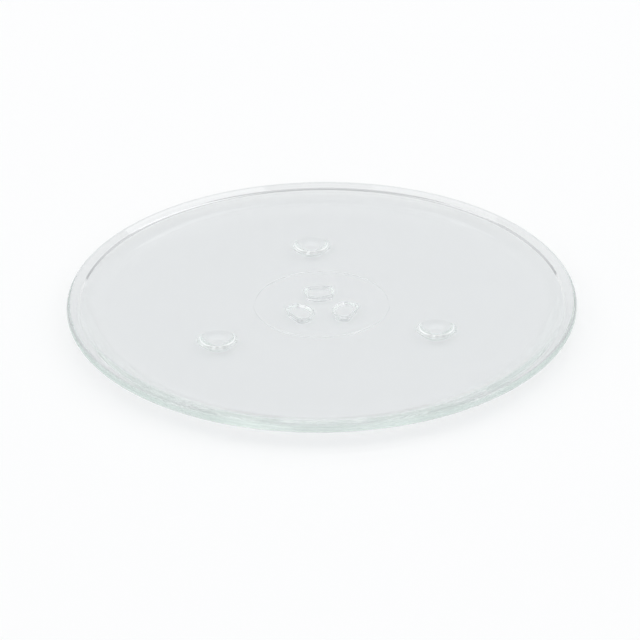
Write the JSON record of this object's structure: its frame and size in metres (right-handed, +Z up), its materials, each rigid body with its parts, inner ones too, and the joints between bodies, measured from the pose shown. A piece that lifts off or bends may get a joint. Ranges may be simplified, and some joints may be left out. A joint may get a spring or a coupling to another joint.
{
  "type": "microwave turntable plate",
  "caption": "Round clear glass turntable plate for a microwave oven, a shallow dish with a raised rounded lip, drive lugs under its centre and feet on its underside.",
  "frame": {"origin": "on the spin axis, at the level of the feet's tips", "axes": "+Z up along the spin axis, out of the dish; +Y through the first drive lug and the first foot"},
  "size_m": [0.245, 0.245, 0.0122],
  "materials": {
    "clear_glass": "clear pressed glass, fire polished, pale green at the edge"
  },
  "bodies": {
    "root": {"turntable_plate": "clear_glass"}
  },
  "joints": []
}
